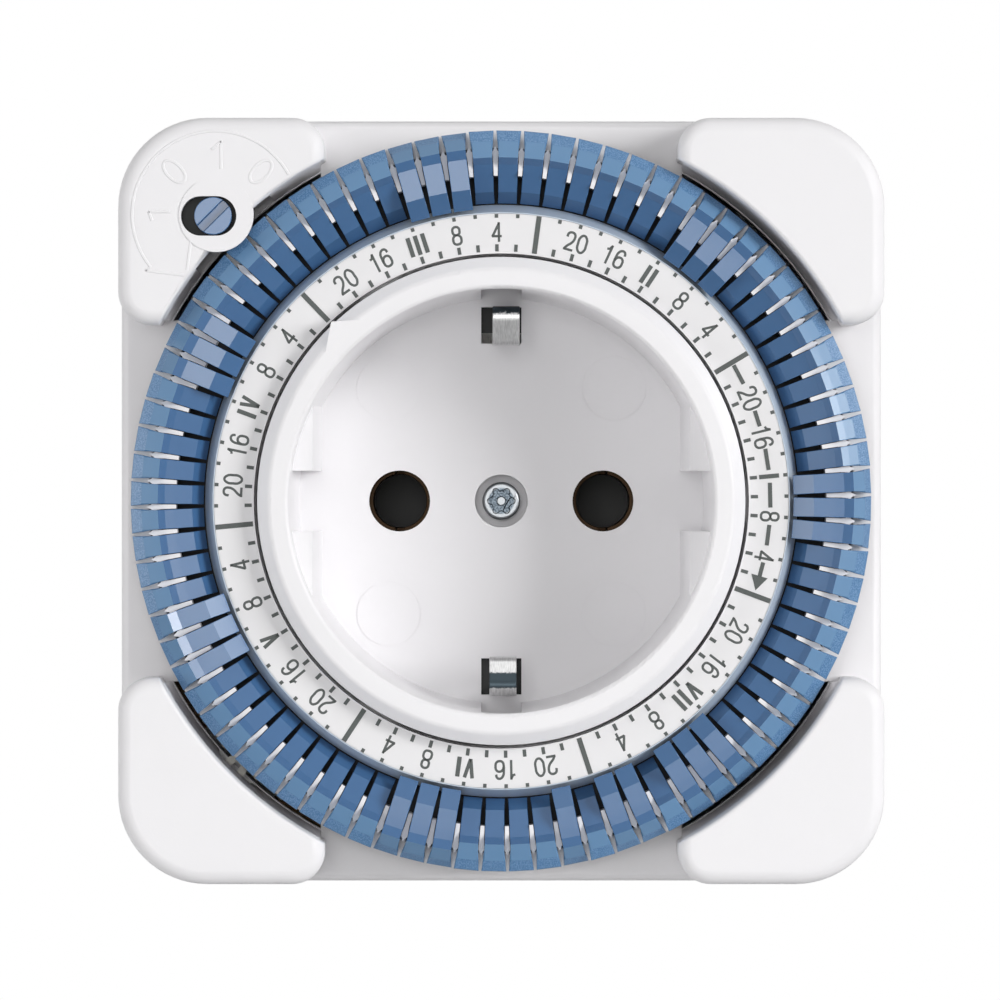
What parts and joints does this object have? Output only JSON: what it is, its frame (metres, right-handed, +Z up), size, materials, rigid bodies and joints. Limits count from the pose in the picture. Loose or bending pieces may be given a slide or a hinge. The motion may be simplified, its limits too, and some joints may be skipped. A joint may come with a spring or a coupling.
{
  "type": "plug-in timer switch",
  "caption": "Square plug-in weekly timer with an earthed socket in its face and a turning ring of tipping segments round it.",
  "frame": {"origin": "midway between the plug pins, on the casing's back face, which is the wall's surface", "axes": "+Z up, +Y into the wall along the plug, so the dial and socket face -Y; +X to the right seen from the front"},
  "size_m": [0.0706, 0.0821, 0.0706],
  "materials": {
    "casing_white": "satin moulded white",
    "socket_white": "satin moulded white",
    "carrier_white": "fine moulded white",
    "label_print": "white foil with dark grey print",
    "band_grey": "blue-grey, slightly translucent",
    "rocker_blue": "fine-grained mid blue",
    "steel": "machined",
    "zinc_plate": "zinc-plated strip",
    "nickel": "nickel-plated brass",
    "brass": "rolled strip",
    "inner_grey": "heat-resistant moulding",
    "lead_brown": "wire insulation",
    "lead_black": "wire insulation",
    "motor_steel": "drawn steel",
    "coil_copper": "enamelled copper winding",
    "black": "black moulding",
    "gear_plastic": "natural acetal"
  },
  "bodies": {
    "root": {"rear_housing": "casing_white", "front_cover": "casing_white", "casing_screws": "steel", "socket_insert": "socket_white", "earth_clips": "zinc_plate", "plug_earth_strip": "zinc_plate", "centre_screw": "steel", "contact_carrier": "inner_grey", "live_pin": "nickel", "neutral_pin": "nickel", "live_contact": "brass", "neutral_contact": "brass", "live_lead": "lead_brown", "switched_lead": "lead_brown", "motor_leads": "lead_black", "motor_can": "motor_steel", "motor_coil": "coil_copper", "movement_plate": "brass", "microswitch_body": "black"},
    "dial": {"dial_carrier": "carrier_white", "dial_label": "label_print", "dial_band": "band_grey", "pivot_ring": "steel"},
    "rockers_day1_00h": {"rockers_day1_00h": "rocker_blue"},
    "rockers_day1_06h": {"rockers_day1_06h": "rocker_blue"},
    "rockers_day1_12h": {"rockers_day1_12h": "rocker_blue"},
    "rockers_day1_18h": {"rockers_day1_18h": "rocker_blue"},
    "rockers_day2_00h": {"rockers_day2_00h": "rocker_blue"},
    "rockers_day2_06h": {"rockers_day2_06h": "rocker_blue"},
    "rockers_day2_12h": {"rockers_day2_12h": "rocker_blue"},
    "rockers_day2_18h": {"rockers_day2_18h": "rocker_blue"},
    "rockers_day3_00h": {"rockers_day3_00h": "rocker_blue"},
    "rockers_day3_06h": {"rockers_day3_06h": "rocker_blue"},
    "rockers_day3_12h": {"rockers_day3_12h": "rocker_blue"},
    "rockers_day3_18h": {"rockers_day3_18h": "rocker_blue"},
    "rockers_day4_00h": {"rockers_day4_00h": "rocker_blue"},
    "rockers_day4_06h": {"rockers_day4_06h": "rocker_blue"},
    "rockers_day4_12h": {"rockers_day4_12h": "rocker_blue"},
    "rockers_day4_18h": {"rockers_day4_18h": "rocker_blue"},
    "rockers_day5_00h": {"rockers_day5_00h": "rocker_blue"},
    "rockers_day5_06h": {"rockers_day5_06h": "rocker_blue"},
    "rockers_day5_12h": {"rockers_day5_12h": "rocker_blue"},
    "rockers_day5_18h": {"rockers_day5_18h": "rocker_blue"},
    "rockers_day6_00h": {"rockers_day6_00h": "rocker_blue"},
    "rockers_day6_06h": {"rockers_day6_06h": "rocker_blue"},
    "rockers_day6_12h": {"rockers_day6_12h": "rocker_blue"},
    "rockers_day6_18h": {"rockers_day6_18h": "rocker_blue"},
    "rockers_day6_20h": {"rockers_day6_20h": "rocker_blue"},
    "rockers_day7_00h": {"rockers_day7_00h": "rocker_blue"},
    "rockers_day7_04h": {"rockers_day7_04h": "rocker_blue"},
    "rockers_day7_06h": {"rockers_day7_06h": "rocker_blue"},
    "rockers_day7_12h": {"rockers_day7_12h": "rocker_blue"},
    "rockers_day7_18h": {"rockers_day7_18h": "rocker_blue"},
    "drive_pinion": {"drive_pinion": "gear_plastic"},
    "motor_rotor": {"motor_rotor": "motor_steel"},
    "first_wheel": {"first_wheel": "gear_plastic"},
    "second_wheel": {"second_wheel": "gear_plastic"},
    "feeler": {"feeler": "gear_plastic"},
    "selector_slide": {"selector_slide": "black"},
    "selector_knob": {"selector_knob": "rocker_blue"}
  },
  "joints": [
    {"name": "dial_turn", "type": "hinge", "parent": "root", "child": "dial", "pos_m": [0, -0.04, 0], "axis": [0, 1, 0], "continuous": true},
    {"name": "tip_day1_00h", "type": "hinge", "parent": "dial", "child": "rockers_day1_00h", "pos_m": [0.03105, -0.0433, -0.00775], "axis": [-0.2423, 0, -0.9702], "range_deg": [-28, 0]},
    {"name": "tip_day1_06h", "type": "hinge", "parent": "dial", "child": "rockers_day1_06h", "pos_m": [0.03199, -0.0433, -0.00065], "axis": [-0.0203, 0, -0.9998], "range_deg": [0, 28]},
    {"name": "tip_day1_12h", "type": "hinge", "parent": "dial", "child": "rockers_day1_12h", "pos_m": [0.03134, -0.0433, 0.00649], "axis": [0.2027, 0, -0.9792], "range_deg": [-28, 0]},
    {"name": "tip_day1_18h", "type": "hinge", "parent": "dial", "child": "rockers_day1_18h", "pos_m": [0.02911, -0.0433, 0.0133], "axis": [0.4155, 0, -0.9096], "range_deg": [-28, 0]},
    {"name": "tip_day2_00h", "type": "hinge", "parent": "dial", "child": "rockers_day2_00h", "pos_m": [0.02542, -0.0433, 0.01944], "axis": [0.6075, 0, -0.7943], "range_deg": [-28, 0]},
    {"name": "tip_day2_06h", "type": "hinge", "parent": "dial", "child": "rockers_day2_06h", "pos_m": [0.02046, -0.0433, 0.02461], "axis": [0.769, 0, -0.6392], "range_deg": [0, 28]},
    {"name": "tip_day2_12h", "type": "hinge", "parent": "dial", "child": "rockers_day2_12h", "pos_m": [0.01447, -0.0433, 0.02854], "axis": [0.892, 0, -0.4521], "range_deg": [-28, 0]},
    {"name": "tip_day2_18h", "type": "hinge", "parent": "dial", "child": "rockers_day2_18h", "pos_m": [0.00775, -0.0433, 0.03105], "axis": [0.9702, 0, -0.2423], "range_deg": [-28, 0]},
    {"name": "tip_day3_00h", "type": "hinge", "parent": "dial", "child": "rockers_day3_00h", "pos_m": [0.00065, -0.0433, 0.03199], "axis": [0.9998, 0, -0.0203], "range_deg": [-28, 0]},
    {"name": "tip_day3_06h", "type": "hinge", "parent": "dial", "child": "rockers_day3_06h", "pos_m": [-0.00649, -0.0433, 0.03134], "axis": [0.9792, 0, 0.2027], "range_deg": [0, 28]},
    {"name": "tip_day3_12h", "type": "hinge", "parent": "dial", "child": "rockers_day3_12h", "pos_m": [-0.0133, -0.0433, 0.02911], "axis": [0.9096, 0, 0.4155], "range_deg": [-28, 0]},
    {"name": "tip_day3_18h", "type": "hinge", "parent": "dial", "child": "rockers_day3_18h", "pos_m": [-0.01944, -0.0433, 0.02542], "axis": [0.7943, 0, 0.6075], "range_deg": [-28, 0]},
    {"name": "tip_day4_00h", "type": "hinge", "parent": "dial", "child": "rockers_day4_00h", "pos_m": [-0.02461, -0.0433, 0.02046], "axis": [0.6392, 0, 0.769], "range_deg": [-28, 0]},
    {"name": "tip_day4_06h", "type": "hinge", "parent": "dial", "child": "rockers_day4_06h", "pos_m": [-0.02854, -0.0433, 0.01447], "axis": [0.4521, 0, 0.892], "range_deg": [0, 28]},
    {"name": "tip_day4_12h", "type": "hinge", "parent": "dial", "child": "rockers_day4_12h", "pos_m": [-0.03105, -0.0433, 0.00775], "axis": [0.2423, 0, 0.9702], "range_deg": [-28, 0]},
    {"name": "tip_day4_18h", "type": "hinge", "parent": "dial", "child": "rockers_day4_18h", "pos_m": [-0.03199, -0.0433, 0.00065], "axis": [0.0203, 0, 0.9998], "range_deg": [-28, 0]},
    {"name": "tip_day5_00h", "type": "hinge", "parent": "dial", "child": "rockers_day5_00h", "pos_m": [-0.03134, -0.0433, -0.00649], "axis": [-0.2027, 0, 0.9792], "range_deg": [-28, 0]},
    {"name": "tip_day5_06h", "type": "hinge", "parent": "dial", "child": "rockers_day5_06h", "pos_m": [-0.02911, -0.0433, -0.0133], "axis": [-0.4155, 0, 0.9096], "range_deg": [0, 28]},
    {"name": "tip_day5_12h", "type": "hinge", "parent": "dial", "child": "rockers_day5_12h", "pos_m": [-0.02542, -0.0433, -0.01944], "axis": [-0.6075, 0, 0.7943], "range_deg": [-28, 0]},
    {"name": "tip_day5_18h", "type": "hinge", "parent": "dial", "child": "rockers_day5_18h", "pos_m": [-0.02046, -0.0433, -0.02461], "axis": [-0.769, 0, 0.6392], "range_deg": [-28, 0]},
    {"name": "tip_day6_00h", "type": "hinge", "parent": "dial", "child": "rockers_day6_00h", "pos_m": [-0.01447, -0.0433, -0.02854], "axis": [-0.892, 0, 0.4521], "range_deg": [-28, 0]},
    {"name": "tip_day6_06h", "type": "hinge", "parent": "dial", "child": "rockers_day6_06h", "pos_m": [-0.00775, -0.0433, -0.03105], "axis": [-0.9702, 0, 0.2423], "range_deg": [0, 28]},
    {"name": "tip_day6_12h", "type": "hinge", "parent": "dial", "child": "rockers_day6_12h", "pos_m": [-0.00065, -0.0433, -0.03199], "axis": [-0.9998, 0, 0.0203], "range_deg": [-28, 0]},
    {"name": "tip_day6_18h", "type": "hinge", "parent": "dial", "child": "rockers_day6_18h", "pos_m": [0.00649, -0.0433, -0.03134], "axis": [-0.9792, 0, -0.2027], "range_deg": [-28, 0]},
    {"name": "tip_day6_20h", "type": "hinge", "parent": "dial", "child": "rockers_day6_20h", "pos_m": [0.00649, -0.0433, -0.03134], "axis": [-0.9792, 0, -0.2027], "range_deg": [0, 28]},
    {"name": "tip_day7_00h", "type": "hinge", "parent": "dial", "child": "rockers_day7_00h", "pos_m": [0.0122, -0.0433, -0.02958], "axis": [-0.9245, 0, -0.3812], "range_deg": [0, 28]},
    {"name": "tip_day7_04h", "type": "hinge", "parent": "dial", "child": "rockers_day7_04h", "pos_m": [0.01543, -0.0433, -0.02803], "axis": [-0.876, 0, -0.4823], "range_deg": [-28, 0]},
    {"name": "tip_day7_06h", "type": "hinge", "parent": "dial", "child": "rockers_day7_06h", "pos_m": [0.01944, -0.0433, -0.02542], "axis": [-0.7943, 0, -0.6075], "range_deg": [0, 28]},
    {"name": "tip_day7_12h", "type": "hinge", "parent": "dial", "child": "rockers_day7_12h", "pos_m": [0.02461, -0.0433, -0.02046], "axis": [-0.6392, 0, -0.769], "range_deg": [-28, 0]},
    {"name": "tip_day7_18h", "type": "hinge", "parent": "dial", "child": "rockers_day7_18h", "pos_m": [0.02854, -0.0433, -0.01447], "axis": [-0.4521, 0, -0.892], "range_deg": [-28, 0]},
    {"name": "drive_pinion_spin", "type": "hinge", "parent": "root", "child": "drive_pinion", "pos_m": [-0.02298, -0.036, -0.02298], "axis": [0, 1, 0], "continuous": true},
    {"name": "second_wheel_spin", "type": "hinge", "parent": "root", "child": "second_wheel", "pos_m": [-0.02298, -0.02, -0.02298], "axis": [0, 1, 0], "continuous": true},
    {"name": "first_wheel_spin", "type": "hinge", "parent": "root", "child": "first_wheel", "pos_m": [-0.02298, -0.018, -0.01578], "axis": [0, 1, 0], "continuous": true},
    {"name": "rotor_spin", "type": "hinge", "parent": "root", "child": "motor_rotor", "pos_m": [-0.02298, -0.008, -0.02298], "axis": [0, 1, 0], "continuous": true},
    {"name": "feeler_push", "type": "slide", "parent": "root", "child": "feeler", "axis": [-0.7071, 0, 0.7071], "range_m": [0, 0.0006], "stiffness_N_per_m": 150, "springref_m": -0.002},
    {"name": "selector_shift", "type": "slide", "parent": "root", "child": "selector_slide", "axis": [1, 0, 0], "range_m": [-0.0012, 0.0004]},
    {"name": "selector_turn", "type": "hinge", "parent": "selector_slide", "child": "selector_knob", "pos_m": [-0.0265, -0.0445, 0.0262], "axis": [0, 1, 0], "range_deg": [-90, 90]}
  ],
  "couplings": [
    {"joint": "drive_pinion_spin", "follows": "dial_turn", "ratio": -12},
    {"joint": "first_wheel_spin", "follows": "second_wheel_spin", "ratio": -3},
    {"joint": "rotor_spin", "follows": "second_wheel_spin", "ratio": 9}
  ]
}
